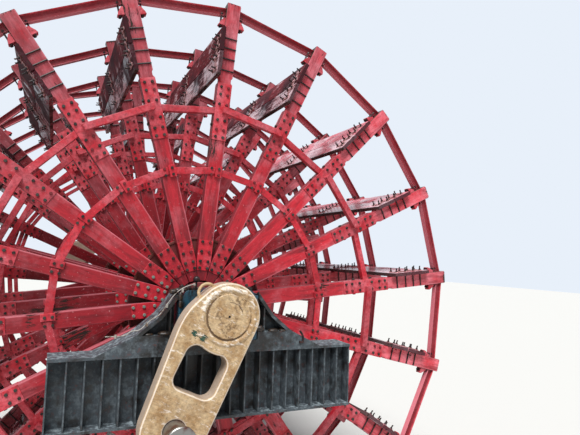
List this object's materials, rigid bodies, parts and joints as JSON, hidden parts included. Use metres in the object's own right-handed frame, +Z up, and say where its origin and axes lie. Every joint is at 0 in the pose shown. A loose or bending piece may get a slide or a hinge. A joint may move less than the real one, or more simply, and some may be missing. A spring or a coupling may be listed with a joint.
{
  "type": "sternwheel of a paddle boat",
  "caption": "Large red paddle wheel in two staggered halves on one shaft, with timber arms, tie rings, long bucket boards, end cranks, and bearings on two wheel beams.",
  "frame": {"origin": "middle of the near wheel beam's underside, 1.22 m below the shaft's axis", "axes": "+Z up, +Y along the shaft from the near side to the far side, +X across the wheel to the right as seen from the near side"},
  "size_m": [8.53, 11.396, 8.53],
  "materials": {
    "painted_timber": "red paint on timber arms and steel rings, semi-gloss, cracked and chipped",
    "bucket_board": "red paint on sawn boards, worn and damp",
    "hub_casting": "red paint on cast iron",
    "crank_casting": "cream paint on a casting, worn white on the rim",
    "bearing_casting": "dark teal paint on cast iron, oily",
    "beam_steel": "grey-black paint under grease",
    "shaft_steel": "turned steel, dull"
  },
  "bodies": {
    "beams": {"near_wheel_beam": "beam_steel", "near_bearing_block": "bearing_casting", "near_bearing_cap": "bearing_casting", "far_wheel_beam": "beam_steel", "far_bearing_block": "bearing_casting", "far_bearing_cap": "bearing_casting"},
    "wheel": {"shaft": "shaft_steel", "near_hub_1": "hub_casting", "near_hub_2": "hub_casting", "near_hub_3": "hub_casting", "far_hub_1": "hub_casting", "far_hub_2": "hub_casting", "far_hub_3": "hub_casting", "near_flange_1": "painted_timber", "near_flange_2": "painted_timber", "near_flange_3": "painted_timber", "far_flange_1": "painted_timber", "far_flange_2": "painted_timber", "far_flange_3": "painted_timber", "near_bucket_01": "bucket_board", "near_bucket_02": "bucket_board", "near_bucket_03": "bucket_board", "near_bucket_04": "bucket_board", "near_bucket_05": "bucket_board", "near_bucket_06": "bucket_board", "near_bucket_07": "bucket_board", "near_bucket_08": "bucket_board", "near_bucket_09": "bucket_board", "near_bucket_10": "bucket_board", "near_bucket_11": "bucket_board", "near_bucket_12": "bucket_board", "near_bucket_13": "bucket_board", "near_bucket_14": "bucket_board", "near_bucket_15": "bucket_board", "near_bucket_16": "bucket_board", "near_bucket_17": "bucket_board", "near_bucket_18": "bucket_board", "far_bucket_01": "bucket_board", "far_bucket_02": "bucket_board", "far_bucket_03": "bucket_board", "far_bucket_04": "bucket_board", "far_bucket_05": "bucket_board", "far_bucket_06": "bucket_board", "far_bucket_07": "bucket_board", "far_bucket_08": "bucket_board", "far_bucket_09": "bucket_board", "far_bucket_10": "bucket_board", "far_bucket_11": "bucket_board", "far_bucket_12": "bucket_board", "far_bucket_13": "bucket_board", "far_bucket_14": "bucket_board", "far_bucket_15": "bucket_board", "far_bucket_16": "bucket_board", "far_bucket_17": "bucket_board", "far_bucket_18": "bucket_board", "near_crank": "crank_casting", "far_crank": "crank_casting", "near_crank_pin": "shaft_steel", "far_crank_pin": "shaft_steel"}
  },
  "joints": [
    {"name": "wheel_spin", "type": "hinge", "parent": "beams", "child": "wheel", "pos_m": [0, 0, 1.22], "axis": [0, 1, 0], "continuous": true}
  ]
}
